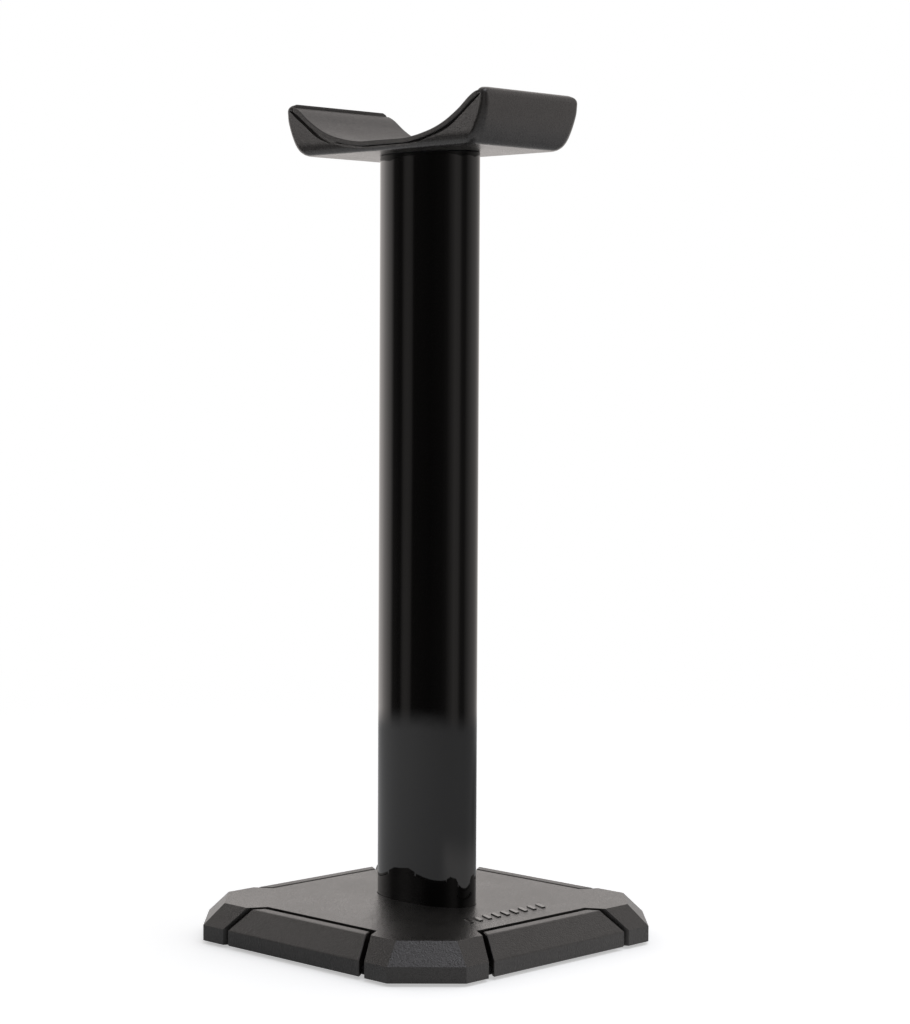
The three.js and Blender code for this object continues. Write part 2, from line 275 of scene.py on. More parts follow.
def bump(nt, height, strength, distance, below=None):
    b = nt.nodes.new("ShaderNodeBump")
    b.inputs["Strength"].default_value = strength
    b.inputs["Distance"].default_value = distance
    nt.links.new(height, b.inputs["Height"])
    if below is not None:
        nt.links.new(below, b.inputs["Normal"])
    return b.outputs["Normal"]


def obj_coord(nt):
    return nt.nodes.new("ShaderNodeTexCoord").outputs["Object"]


def moulded(name, dark, light, rough, spread, grain, depth, spec=0.5, wave=0.15):
    """Spark-eroded black plastic: a fine grain, with a faint unevenness of tone and gloss."""
    m, nt, b = nodes_of(name)
    c = obj_coord(nt)
    big = noise(nt, c, 45.0, 3.0, 0.55)
    mid = noise(nt, c, 420.0, 2.0, 0.5)
    fine = noise(nt, c, grain, 2.0, 0.6)
    speck = noise(nt, c, grain * 0.55, 1.0, 0.5)
    tone = nt.nodes.new("ShaderNodeMath")
    tone.operation = "MULTIPLY_ADD"
    nt.links.new(speck, tone.inputs[0])
    tone.inputs[1].default_value = 0.75
    nt.links.new(ramp(nt, big, 0.3, 0.7, 0.0, 0.25), tone.inputs[2])
    nt.links.new(colour_mix(nt, tone.outputs[0], dark, light), b.inputs["Base Color"])
    add = nt.nodes.new("ShaderNodeMath")
    add.operation = "ADD"
    nt.links.new(ramp(nt, big, 0.3, 0.7, rough - spread, rough + spread), add.inputs[0])
    nt.links.new(ramp(nt, fine, 0.3, 0.7, -0.05, 0.05), add.inputs[1])
    nt.links.new(add.outputs[0], b.inputs["Roughness"])
    n0 = bump(nt, mid, wave, 0.00010)
    nt.links.new(bump(nt, fine, 1.0, depth, n0), b.inputs["Normal"])
    b.inputs["Specular IOR Level"].default_value = spec
    return m


BASE = moulded("base_plastic", (0.0060, 0.0058, 0.0056), (0.0185, 0.0180, 0.0174), 0.30, 0.03, 2200.0, 0.00011)
BAR = moulded("bar_plastic", (0.0070, 0.0068, 0.0066), (0.0230, 0.0224, 0.0217), 0.35, 0.03, 2000.0, 0.00017)
CRADLE = moulded("cradle_plastic", (0.0160, 0.0152, 0.0149), (0.0370, 0.0352, 0.0345), 0.29, 0.03, 2400.0, 0.00006)
SADDLE = moulded("saddle_plastic", (0.034, 0.033, 0.032), (0.056, 0.054, 0.052), 0.44, 0.04, 1500.0, 0.00008)
RIB = moulded("rib_plastic", (0.010, 0.010, 0.010), (0.016, 0.016, 0.0155), 0.20, 0.02, 1500.0, 0.00001)
UNDERSIDE = moulded("inner_plastic", (0.014, 0.014, 0.015), (0.022, 0.022, 0.023), 0.6, 0.06, 1800.0, 0.00008)


def gloss(name):
    m, nt, b = nodes_of(name)
    c = obj_coord(nt)
    big = noise(nt, c, 28.0, 3.0, 0.5, (1.0, 1.0, 0.35))
    peel = noise(nt, c, 260.0, 2.0, 0.5)
    wipe = noise(nt, c, 900.0, 3.0, 0.6, (1.0, 1.0, 0.06))
    nt.links.new(colour_mix(nt, big, (0.0011, 0.0010, 0.0010), (0.0019, 0.0017, 0.0016)), b.inputs["Base Color"])
    nt.links.new(ramp(nt, wipe, 0.35, 0.75, 0.018, 0.045), b.inputs["Roughness"])
    sep_ = nt.nodes.new("ShaderNodeSeparateXYZ")
    nt.links.new(c, sep_.inputs[0])
    calm = ramp(nt, sep_.outputs["Z"], 0.05, 0.20, 1.0, 0.12)
    mul = nt.nodes.new("ShaderNodeMath")
    mul.operation = "MULTIPLY"
    nt.links.new(big, mul.inputs[0])
    nt.links.new(calm, mul.inputs[1])
    n0 = bump(nt, mul.outputs[0], 0.25, 0.00035)
    nt.links.new(bump(nt, peel, 0.12, 0.00002, n0), b.inputs["Normal"])
    b.inputs["Specular IOR Level"].default_value = 0.5
    return m


GLOSS = gloss("column_gloss")


def rubber(name):
    m, nt, b = nodes_of(name)
    c = obj_coord(nt)
    big = noise(nt, c, 180.0, 3.0, 0.6)
    fine = noise(nt, c, 2200.0, 2.0, 0.6)
    nt.links.new(colour_mix(nt, big, (0.010, 0.010, 0.010), (0.020, 0.020, 0.019)), b.inputs["Base Color"])
    nt.links.new(ramp(nt, big, 0.3, 0.7, 0.78, 0.92), b.inputs["Roughness"])
    nt.links.new(bump(nt, fine, 0.6, 0.00006), b.inputs["Normal"])
    return m


def metal(name, a, bcol, rough, grain=(1.0, 30.0, 1.0)):
    m, nt, b = nodes_of(name)
    c = obj_coord(nt)
    brushed = noise(nt, c, 160.0, 4.0, 0.65, grain)
    big = noise(nt, c, 90.0, 2.0, 0.5)
    nt.links.new(colour_mix(nt, big, a, bcol), b.inputs["Base Color"])
    nt.links.new(ramp(nt, brushed, 0.3, 0.7, rough - 0.08, rough + 0.1), b.inputs["Roughness"])
    nt.links.new(bump(nt, brushed, 0.25, 0.00003), b.inputs["Normal"])
    b.inputs["Metallic"].default_value = 1.0
    return m


RUBBER = rubber("foot_rubber")
STEEL = metal("ballast_steel", (0.45, 0.45, 0.46), (0.55, 0.55, 0.56), 0.42)
SCREW = metal("screw_steel", (0.07, 0.07, 0.075), (0.11, 0.11, 0.115), 0.34)


def finish_piece(ob, mat, slot, *replaced):
    ob.data.materials.clear()
    ob.data.materials.append(mat)
    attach(ob, "root")
    if replaced:
        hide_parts(*replaced)
    return ob


# ------------------------------------------------------------------ base cover
def base_form(inset, z0, z_edge, z_top):
    o = octagon(HALF - inset, TRUNC - inset * math.sqrt(2))
    t = octagon(HALF - BEVEL - inset, TRUNC - (BEVEL + inset) * math.sqrt(2))
    return hull([(x, y, z0) for x, y in o] + [(x, y, z_edge) for x, y in o] + [(x, y, z_top) for x, y in t])


def bar_plan(grow, x_out):
    side = grow * math.sqrt(1 + BAR_FLARE ** 2)
    x0 = BAR_IN - grow
    y = lambda x: BAR_END + side + BAR_FLARE * (x - BAR_IN)
    return [(x0, -y(x0)), (x_out, -y(x_out)), (x_out, y(x_out)), (x0, y(x0))]


def turned_plan(plan, k):
    c, s = [(1, 0), (0, 1), (-1, 0), (0, -1)][k]
    return [(x * c - y * s, x * s + y * c) for x, y in plan]


POCKET_Z = LIFT + 2.6 * MM
CORNERS = [("front_left", -1, -1), ("front_right", 1, -1), ("back_right", 1, 1), ("back_left", -1, 1)]
POST_AT = 44.0 * MM

cavity = base_form(SKIN, LIFT - 1 * MM, EDGE_Z - 0.9 * MM, PLATE_Z - SKIN)
for k in range(4):
    cut(cavity, prism(turned_plan(bar_plan(GROOVE + 2 * MM, HALF + 3 * MM), k), LIFT - 2 * MM, PLATE_Z + 2 * MM))
for _, sx, sy in CORNERS:
    cut(cavity, lathe([(0, 0), (3.4 * MM, 0), (3.4 * MM, PLATE_Z), (0, PLATE_Z)], sx * POST_AT, sy * POST_AT, 24))
cover = base_form(0, LIFT, EDGE_Z, PLATE_Z)
cut(cover, cavity)
cut(cover, prism(octagon(HALF - SKIN + 0.2 * MM, TRUNC - (SKIN - 0.2 * MM) * math.sqrt(2)), LIFT - 1 * MM, POCKET_Z))
for k in range(4):
    cut(cover, prism(turned_plan(bar_plan(GROOVE, HALF + 3 * MM), k), LIFT - 2 * MM, PLATE_Z + 2 * MM))
seat = even(superellipse(COL_A + 0.12 * MM, COL_B + 0.12 * MM, COL_N, 720), 144)
cut(cover, prism(seat, SEAT_Z, PLATE_Z + 1 * MM))
for s in (1, -1):
    cut(cover, lathe([(0, 5 * MM), (2.8 * MM, 5 * MM), (2.8 * MM, PLATE_Z + 1 * MM), (0, PLATE_Z + 1 * MM)], 0, s * BOLT_Y, 32))
for _, sx, sy in CORNERS:
    cut(cover, lathe([(0, 0), (1.6 * MM, 0), (1.6 * MM, 8.9 * MM), (0, 8.9 * MM)], sx * POST_AT, sy * POST_AT, 24))
tidy(cover)
soften(cover, 0.28 * MM, 3)
cover.name = "cover_shell"
finish_piece(cover, BASE, "base_plastic", "base_cover")

# ------------------------------------------------------------------- edge bars
def make_bar():
    slope = BEVEL / (6.0 * MM)
    x_top = HALF - (BAR_TOP - EDGE_Z) * slope
    y = lambda x: BAR_END + BAR_FLARE * (x - BAR_IN)
    pts = []
    for s in (1, -1):
        pts += [(HALF, s * y(HALF), LIFT), (HALF, s * y(HALF), EDGE_Z), (x_top, s * y(x_top), BAR_TOP),
                (BAR_IN, s * BAR_END, BAR_TOP), (BAR_IN, s * BAR_END, LIFT)]
    b = hull(pts)
    cut(b, prism(octagon(HALF - SKIN + 0.2 * MM, TRUNC - (SKIN - 0.2 * MM) * math.sqrt(2)), LIFT - 1 * MM, POCKET_Z))
    tidy(b)
    return b


bar = make_bar()
soften(bar, 0.4 * MM, 3)
for k, n in enumerate(("right", "back", "left", "front")):
    o = turned(bar, k * math.pi / 2, f"side_bar_{n}")
    finish_piece(o, BAR, "bar_plastic", f"edge_bar_{n}")
bpy.data.objects.remove(bar)

# ---------------------------------------------------------------------- column
def make_column():
    z0, z1 = SEAT_Z + 0.02 * MM, UNDER_Z - 0.02 * MM
    steps = 192
    bm = bmesh.new()
    rings = []
    outer = lambda e: even(superellipse(COL_A - e, COL_B - e, COL_N, 1440), steps)
    r = 0.25 * MM
    levels = []
    for i in range(4):
        a = math.pi / 2 * i / 3
        levels.append((z0 + r - r * math.cos(a), r - r * math.sin(a)))
    for d in (0.12, 0.4, 1.2, 3.0):
        levels.append((z0 + r + d * MM, 0.0))
    for i in range(1, 24):
        levels.append((z0 + r + (z1 - z0 - 2 * r) * i / 24, 0.0))
    for d in (3.0, 1.2, 0.4, 0.12):
        levels.append((z1 - r - d * MM, 0.0))
    for i in range(4):
        a = math.pi / 2 * i / 3
        levels.append((z1 - r + r * math.sin(a), r - r * math.cos(a)))
    plans = {}
    for z, e in levels:
        key = round(e * 1e7)
        if key not in plans:
            plans[key] = outer(e)
        rings.append([bm.verts.new((x, y, z)) for x, y in plans[key]])
    inner = outer(COL_WALL)
    rings.append([bm.verts.new((x, y, z1)) for x, y in inner])
    rings.append([bm.verts.new((x, y, z0)) for x, y in inner])
    for a, b in zip(rings, rings[1:] + rings[:1]):
        for i in range(steps):
            j = (i + 1) % steps
            bm.faces.new((a[i], a[j], b[j], b[i]))
    return to_object(bm, "column_shell")


column = make_column()
for p in column.data.polygons:
    p.use_smooth = True
finish_piece(column, GLOSS, "column_gloss", "column_tube")


# ---------------------------------------------------------------------- cradle
WALL_IN = 40.2
GROOVE_IN = 19.7 * MM
SADDLE_TOP = [(0, 247.8), (9, 247.8), (11, 247.95), (13, 248.2), (15, 248.5), (17, 248.9), (19, 249.35), (21, 249.85), (24, 250.85),
              (27, 252.15), (30, 253.8), (33, 255.7), (35, 257.25), (37, 258.7), (39, 259.75), (39.9, 260.05)]
SADDLE_LOW = [(0, 246.45), (9, 246.45), (11, 246.6), (13, 246.85), (15, 247.15), (17, 247.5), (19, 247.95), (21, 248.45), (24, 249.35),
              (27, 250.5), (30, 252.05), (33, 253.9), (35, 255.3), (37, 256.85), (39, 258.05), (39.9, 258.5), (42, 259.5)]
GROOVE_LOW = [(0, 245.6), (9, 245.6), (13, 245.95), (19, 246.9), (24, 248.1), (27, 249.2), (30, 250.7), (33, 252.8), (35, 254.2), (37, 255.6), (39, 257.0), (41.4, 258.8)]
SHELL = [(244.7, 36.6, 2, 3.4), (245.0, 37.4, 1.3, 3.3), (245.4, 38, 0.9, 3.2), (246.0, 38.7, 0.5, 3.1), (246.6, 39.2, 0.28, 3), (247.5, 39.8, 0.05, 2.9), (248.6, 40.5, 0, 2.8),
         (250.8, 41.6, 0, 2.6), (253.7, 42.65, 0, 2.3), (256.3, 43.25, 0, 2), (258.0, 43.3, 0, 1.8), (259.0, 43.25, 0, 1.6), (259.9, 43, 0.25, 1.5), (260.6, 42.5, 0.85, 1.5), (261.1, 41.6, 2, 1.5)]


def slopes(xs, ys):
    n = len(xs)
    h = [xs[i + 1] - xs[i] for i in range(n - 1)]
    d = [(ys[i + 1] - ys[i]) / h[i] for i in range(n - 1)]
    m = [d[0]] + [0.0] * (n - 2) + [d[-1]]
    for i in range(1, n - 1):
        if d[i - 1] * d[i] > 0:
            w1, w2 = 2 * h[i] + h[i - 1], h[i] + 2 * h[i - 1]
            m[i] = (w1 + w2) / (w1 / d[i - 1] + w2 / d[i])
    return m


def curve(table, x, col=1):
    """Smooth, never overshooting curve through a table."""
    xs = [float(r[0]) for r in table]
    ys = [float(r[col]) for r in table]
    if x <= xs[0]:
        return ys[0]
    if x >= xs[-1]:
        return ys[-1]
    m = slopes(xs, ys)
    i = max(k for k in range(len(xs) - 1) if xs[k] <= x)
    h = xs[i + 1] - xs[i]
    t = (x - xs[i]) / h
    return ((2 * t ** 3 - 3 * t ** 2 + 1) * ys[i] + (t ** 3 - 2 * t ** 2 + t) * h * m[i]
            + (-2 * t ** 3 + 3 * t ** 2) * ys[i + 1] + (t ** 3 - t ** 2) * h * m[i + 1])


def normals_2d(pts):
    n = len(pts)
    out = []
    area = sum(pts[i][0] * pts[(i + 1) % n][1] - pts[(i + 1) % n][0] * pts[i][1] for i in range(n))
    s = 1.0 if area > 0 else -1.0
    for i in range(n):
        a, b, c = pts[i - 1], pts[i], pts[(i + 1) % n]
        d1 = Vector((b[0] - a[0], b[1] - a[1]))
        d2 = Vector((c[0] - b[0], c[1] - b[1]))
        d1.normalize(); d2.normalize()
        n1 = Vector((d1.y, -d1.x)) * s
        n2 = Vector((d2.y, -d2.x)) * s
        m = n1 + n2
        if m.length < 1e-6:
            m = n1
        m.normalize()
        k = max(0.45, m.dot(n1))
        out.append(m / k)
    return out


def make_saddle():
    """A curved plate with a rounded edge along both sides."""
    end = WALL_IN - 0.12
    count = 96
    ys = [-end + 2 * end * i / count for i in range(count + 1)]
    low = [(y * MM, curve(SADDLE_LOW, abs(y)) * MM) for y in ys]
    high = [(y * MM, curve(SADDLE_TOP, abs(y)) * MM) for y in ys]
    outline = low + list(reversed(high))
    n = len(outline)
    nrm = normals_2d(outline)
    r = 0.28 * MM
    xs = [CR_HX - r * (1 - math.sin(math.pi / 2 * i / 6)) for i in range(7)]
    inner = xs[0]
    full = [-v for v in reversed(xs)] + [-inner + 2 * inner * i / 12 for i in range(1, 12)] + xs
    bm = bmesh.new()
    loops = []
    for x in full:
        d = CR_HX - abs(x)
        e = r - math.sqrt(max(0.0, r * r - (r - d) ** 2)) if d < r else 0.0
        loops.append([bm.verts.new((x, y - q.x * e, z - q.y * e)) for (y, z), q in zip(outline, nrm)])
    for a, b in zip(loops, loops[1:]):
        for i in range(n):
            j = (i + 1) % n
            bm.faces.new((a[i], a[j], b[j], b[i]))
    for loop in (loops[0], loops[-1]):
        for i in range(count):
            bm.faces.new((loop[i], loop[i + 1], loop[n - 2 - i], loop[n - 1 - i]))
    return to_object(bm, "saddle")


def flats(ob, weight=60):
    for p in ob.data.polygons:
        p.use_smooth = True
    w = ob.modifiers.new("flats", "WEIGHTED_NORMAL")
    w.weight = weight
    bpy.context.view_layer.update()
    return evaluated(ob)


saddle = make_saddle()
flats(saddle, 50)
finish_piece(saddle, SADDLE, "cradle_plastic", "cradle_saddle")


def level_ring(bm, z, hy, draw, r, arc=14, along=26):
    hx = CR_HX - draw * MM
    hy, r, z = hy * MM, r * MM, z * MM
    pts = []
    cs = [(hx - r, hy - r, 0), (-hx + r, hy - r, 90), (-hx + r, -hy + r, 180), (hx - r, -hy + r, 270)]
    for k, (cx, cy, a0) in enumerate(cs):
        for i in range(arc + 1):
            a = math.radians(a0 + 90 * i / arc)
            pts.append((cx + r * math.cos(a), cy + r * math.sin(a)))
        nx, ny, b0 = cs[(k + 1) % 4]
        a = math.radians(a0 + 90)
        p = (cx + r * math.cos(a), cy + r * math.sin(a))
        b = math.radians(b0)
        q = (nx + r * math.cos(b), ny + r * math.sin(b))
        for i in range(1, along):
            pts.append((p[0] + (q[0] - p[0]) * i / along, p[1] + (q[1] - p[1]) * i / along))
    return [bm.verts.new((x, y, z)) for x, y in pts]


def make_shell():
    bm = bmesh.new()
    zs = [r[0] for r in SHELL]
    levels = []
    for a, b in zip(zs, zs[1:]):
        k = 3 if b - a > 0.9 else 2
        levels += [a + (b - a) * i / k for i in range(k)]
    levels.append(zs[-1])
    rings = [level_ring(bm, 244.7, 33.6, 4.6, 3.4), level_ring(bm, 244.7, 35.6, 3.0, 3.4)]
    for z in levels:
        rings.append(level_ring(bm, z, curve(SHELL, z, 1), curve(SHELL, z, 2), curve(SHELL, z, 3)))
    rings.append(level_ring(bm, 261.1, 41.2, 2.4, 1.5))
    for a, b in zip(rings, rings[1:]):
        for i in range(len(a)):
            j = (i + 1) % len(a)
            bm.faces.new((a[i], a[j], b[j], b[i]))
    bm.faces.new(list(reversed(rings[0])))
    bm.faces.new(rings[-1])
    return to_object(bm, "cradle_shell")


def along_x(points, x0, x1, name="tool"):
    bm = bmesh.new()
    a = [bm.verts.new((x0, y, z)) for y, z in points]
    b = [bm.verts.new((x1, y, z)) for y, z in points]
    n = len(points)
    for i in range(n):
        j = (i + 1) % n
        bm.faces.new((a[i], a[j], b[j], b[i]))
    bm.faces.new(a)
    bm.faces.new(b)
    return to_object(bm, name)


def steps(y0, y1, n):
    return [y0 + (y1 - y0) * i / n for i in range(n + 1)]


body = make_shell()
bed = [(y * MM, (curve(SADDLE_LOW, abs(y)) - 0.1) * MM) for y in steps(-WALL_IN, WALL_IN, 110)]
cut(body, along_x(bed + [(WALL_IN * MM, 0.27), (-WALL_IN * MM, 0.27)], -0.03, 0.03))
groove = [(y * MM, curve(GROOVE_LOW, abs(y)) * MM) for y in steps(-41.4, 41.4, 110)]
groove += [(y * MM, (curve(SADDLE_LOW, abs(y)) + 0.02) * MM) for y in steps(41.4, -41.4, 110)]
cut(body, along_x(groove, GROOVE_IN, 0.03))
cut(body, along_x(groove, -0.03, -GROOVE_IN))
for s in (1, -1):
    well = [(s * 20, 246.6), (s * 34.0, 246.6), (s * 37.0, 250.0), (s * 39.0, 255.2), (s * 39.0, 262), (s * 20, 262)]
    cut(body, along_x([(y * MM, z * MM) for y, z in well], -(GROOVE_IN - 2.2 * MM), GROOVE_IN - 2.2 * MM))
spigot = even(superellipse(COL_A - COL_WALL - 0.3 * MM, COL_B - COL_WALL - 0.3 * MM, COL_N, 720), 120)
cut(body, prism(spigot, 242.4 * MM, UNDER_Z + 0.4 * MM), "UNION")
BED_Z = 246.35 * MM
for s in (1, -1):
    cut(body, lathe([(0, 240 * MM), (2.3 * MM, 240 * MM), (2.3 * MM, BED_Z - 1.5 * MM), (3.8 * MM, BED_Z), (3.8 * MM, BED_Z + 2 * MM), (0, BED_Z + 2 * MM)], 0, s * BOLT_Y, 32))


def ease_edges(ob, width, segments, test, angle=32):
    """Round the sharp edges that pass the test."""
    bm = bmesh.new()
    bm.from_mesh(ob.data)
    bmesh.ops.remove_doubles(bm, verts=bm.verts, dist=0.015 * MM)
    bm.normal_update()
    pick = []
    for e in bm.edges:
        if len(e.link_faces) == 2 and e.calc_face_angle(0.0) > math.radians(angle) and test(e.verts[0].co) and test(e.verts[1].co):
            pick.append(e)
    bmesh.ops.bevel(bm, geom=pick, offset=width, offset_type="OFFSET", segments=segments, profile=0.5, affect="EDGES", clamp_overlap=True, miter_outer="ARC")
    bm.to_mesh(ob.data)
    bm.free()
    return ob


ease_edges(body, 0.3 * MM, 3, lambda c: abs(abs(c.y) - WALL_IN * MM) < 0.02 * MM and c.z > 0.2595)
ease_edges(body, 0.16 * MM, 2, lambda c: abs(c.x) > GROOVE_IN + 0.1 * MM and c.z > 0.2454 and c.z < 0.2597 and abs(c.y) < 0.0419)
flats(body, 100)
finish_piece(body, CRADLE, "cradle_plastic", "cradle_body")

# ------------------------------------------------- a row of plain ribs on the plate
bm = bmesh.new()
for i in range(-4, 5):
    x0 = i * 4.0 * MM
    base = [(x0 - 1.8 * MM, -36.4 * MM), (x0 - 0.2 * MM, -36.4 * MM), (x0 + 1.8 * MM, -31.6 * MM), (x0 + 0.2 * MM, -31.6 * MM)]
    a = [bm.verts.new((x, y, PLATE_Z - 0.05 * MM)) for x, y in base]
    b = [bm.verts.new((x, y, PLATE_Z + 0.35 * MM)) for x, y in base]
    for k in range(4):
        bm.faces.new((a[k], a[(k + 1) % 4], b[(k + 1) % 4], b[k]))
    bm.faces.new(a)
    bm.faces.new(b)
ribs = to_object(bm, "plate_ribs")
soften(ribs, 0.12 * MM, 3)
finish_piece(ribs, RIB, "base_plastic", "base_cover")

# ------------------------------------------------------------ bottom and feet
lo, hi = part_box("bottom_plate")
PZ0, PZ1 = lo.z, hi.z
FOOT_AT = 36.0 * MM
plate = prism(octagon(hi.x, TRUNC - (SKIN + 0.1 * MM) * math.sqrt(2)), PZ0, PZ1)
spots = []
for k in range(4):
    for s in (1, -1):
        x, y = 50.6 * MM, s * 16.0 * MM
        c, sn = [(1, 0), (0, 1), (-1, 0), (0, -1)][k]
        spots.append((x * c - y * sn, x * sn + y * c))
for _, sx, sy in CORNERS:
    cut(plate, lathe([(0, 0), (6.8 * MM, 0), (6.8 * MM, PZ0 + 0.8 * MM), (0, PZ0 + 0.8 * MM)], sx * FOOT_AT, sy * FOOT_AT, 64))
    cut(plate, lathe([(0, 0), (3.1 * MM, 0), (3.1 * MM, PZ0 + 1.3 * MM), (1.7 * MM, PZ0 + 1.3 * MM), (1.7 * MM, 6 * MM), (0, 6 * MM)], sx * POST_AT, sy * POST_AT, 40))
for x, y in spots:
    cut(plate, lathe([(0, 0), (2.6 * MM, 0), (2.6 * MM, PZ0 + 1.2 * MM), (1.5 * MM, PZ0 + 1.2 * MM), (1.5 * MM, 6 * MM), (0, 6 * MM)], x, y, 32))
tidy(plate)
soften(plate, 0.2 * MM, 2)
plate.name = "bottom_cover"
finish_piece(plate, UNDERSIDE, "inner_plastic", "bottom_plate")

for tag, sx, sy in CORNERS:
    lo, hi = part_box(f"foot_pad_{tag}")
    r, z1 = (hi.x - lo.x) / 2, hi.z
    prof = [(0, 0.25 * MM), (r * 0.52, 0.25 * MM), (r * 0.56, 0.18 * MM), (r * 0.60, 0.02 * MM), (r * 0.63, 0.0), (r - 0.42 * MM, 0.0),
            (r - 0.2 * MM, 0.05 * MM), (r - 0.06 * MM, 0.17 * MM), (r, 0.36 * MM), (r, z1 - 0.15 * MM), (r - 0.15 * MM, z1), (0, z1)]
    f = lathe(prof, sx * FOOT_AT, sy * FOOT_AT, 72, f"rubber_foot_{tag}")
    for p in f.data.polygons:
        p.use_smooth = True
    w = f.modifiers.new("flats", "WEIGHTED_NORMAL")
    bpy.context.view_layer.update()
    evaluated(f)
    finish_piece(f, RUBBER, "foot_rubber", f"foot_pad_{tag}")


def make_screw(name, x, y, z, head_h, head_r, shank_r, z_tip):
    prof = [(0, z), (head_r * 0.55, z + 0.01 * MM), (head_r * 0.8, z + 0.10 * MM), (head_r * 0.94, z + 0.28 * MM), (head_r, z + 0.52 * MM), (head_r, z + head_h),
            (shank_r, z + head_h)]
    # thread: a stack of shallow ridges
    zz = z + head_h + 0.3 * MM
    pitch = 0.62 * MM
    while zz + pitch < z_tip - 0.9 * MM:
        prof += [(shank_r * 0.86, zz), (shank_r, zz + pitch * 0.45), (shank_r * 0.86, zz + pitch * 0.9)]
        zz += pitch
    prof += [(shank_r * 0.8, z_tip - 0.8 * MM), (shank_r * 0.35, z_tip), (0, z_tip)]
    o = lathe(prof, x, y, 32, name)
    w_, l_, d_ = head_r * 0.16, head_r * 0.60, head_h * 0.55
    for lx, ly in ((l_, w_), (w_, l_)):
        cut(o, prism([(x - lx, y - ly), (x + lx, y - ly), (x + lx * 1.0, y + ly), (x - lx, y + ly)], z - 1 * MM, z + d_))
    for p in o.data.polygons:
        p.use_smooth = False
    return o


for tag, sx, sy in CORNERS:
    o = make_screw(f"corner_screw_{tag}", sx * POST_AT, sy * POST_AT, PZ0 + 0.1 * MM, 0.95 * MM, 2.7 * MM, 1.3 * MM, 8.5 * MM)
    finish_piece(o, SCREW, "screw_steel", f"cover_screw_{tag}")
for i, (x, y) in enumerate(spots):
    side = ("right", "back", "left", "front")[i // 2]
    o = make_screw(f"side_screw_{side}_{i % 2 + 1}", x, y, PZ0 + 0.1 * MM, 0.85 * MM, 2.25 * MM, 1.05 * MM, 8.6 * MM)
    finish_piece(o, SCREW, "screw_steel", f"bar_screw_{side}_{i % 2 + 1}")

# carried-over inner pieces keep their CAD shape and get a finish
for n, mat in (("ballast_plate", STEEL), ("lower_plug", UNDERSIDE), ("upper_plug", UNDERSIDE), ("base_screw_1", STEEL), ("base_screw_2", STEEL),
               ("cradle_screw_1", SCREW), ("cradle_screw_2", SCREW)):
    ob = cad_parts[n]
    ob.data.materials.clear()
    ob.data.materials.append(mat)

# ----------------------------------------------------------------------- stage
FLOOR_FILL = 0.45
WARM = (1.0, 0.945, 0.915, 1)
# brightness of the surroundings by compass angle: a white sweep behind the object,
# a dim room round the rest, with two soft strips of light
STOPS = [(-180, 0.06), (-171, 0.10), (-160, 0.28), (-148, 0.48), (-134, 0.44), (-122, 0.16), (-114, 0.12), (-102, 0.13), (-88, 0.34), (-58, 0.74), (-30, 0.97), (-5, 1.08), (60, 1.12),
         (92, 1.5), (106, 1.0), (114, 0.64), (119.0, 0.10), (127, 0.05), (129.5, 0.07), (132, 0.26), (134.5, 0.32), (137.5, 0.26), (139.5, 0.05), (160, 0.035), (180, 0.06)]


class Sums:
    """Small helper to write arithmetic in a node tree."""
    def __init__(self, tree):
        self.tree = tree

    def __call__(self, op, a, b_=None):
        n = self.tree.nodes.new("ShaderNodeMath")
        n.operation = op
        for i, v in enumerate((a, b_)):
            if v is None:
                continue
            if isinstance(v, (int, float)):
                n.inputs[i].default_value = v
            else:
                self.tree.links.new(v, n.inputs[i])
        return n.outputs[0]

    def smooth(self, v, a, b_, lo_, hi_):
        n = self.tree.nodes.new("ShaderNodeMapRange")
        n.interpolation_type = "SMOOTHSTEP"
        self.tree.links.new(v, n.inputs["Value"])
        n.inputs["From Min"].default_value = a
        n.inputs["From Max"].default_value = b_
        n.inputs["To Min"].default_value = lo_
        n.inputs["To Max"].default_value = hi_
        return n.outputs["Result"]

    def compass(self, vector):
        """Brightness of the surroundings in the direction of a vector."""
        sp = self.tree.nodes.new("ShaderNodeSeparateXYZ")
        self.tree.links.new(vector, sp.inputs[0])
        turn = self("ARCTAN2", sp.outputs["Y"], sp.outputs["X"])
        where = self("ADD", self("MULTIPLY", turn, 0.5 / math.pi), 0.5)
        rp = self.tree.nodes.new("ShaderNodeValToRGB")
        els = rp.color_ramp.elements
        els[0].position, els[0].color = 0.0, (STOPS[0][1],) * 3 + (1,)
        els[1].position, els[1].color = 1.0, (STOPS[-1][1],) * 3 + (1,)
        for a_, v in STOPS[1:-1]:
            e = els.new((a_ + 180) / 360)
            e.color = (v, v, v, 1)
        self.tree.links.new(where, rp.inputs["Fac"])
        return sp, rp.outputs["Color"]


m, nt, b = nodes_of("floor_paper")
c = obj_coord(nt)
f = Sums(nt)
nt.links.new(colour_mix(nt, noise(nt, c, 3.0, 2.0), (0.80, 0.835, 0.85), (0.83, 0.865, 0.88)), b.inputs["Base Color"])
b.inputs["Roughness"].default_value = 0.9
b.inputs["Specular IOR Level"].default_value = 0.1
length = nt.nodes.new("ShaderNodeVectorMath")
length.operation = "LENGTH"
nt.links.new(c, length.inputs[0])
dist = length.outputs["Value"]
sp, round_about = f.compass(c)


def glow_of(strength, colour=(1, 1, 1, 1)):
    g = nt.nodes.new("ShaderNodeEmission")
    g.inputs["Color"].default_value = colour
    if isinstance(strength, (int, float)):
        g.inputs["Strength"].default_value = strength
    else:
        nt.links.new(strength, g.inputs["Strength"])
    return g.outputs[0]


def blend_of(fac, a, b_):
    g = nt.nodes.new("ShaderNodeMixShader")
    nt.links.new(fac, g.inputs[0])
    nt.links.new(a, g.inputs[1])
    nt.links.new(b_, g.inputs[2])
    return g.outputs[0]


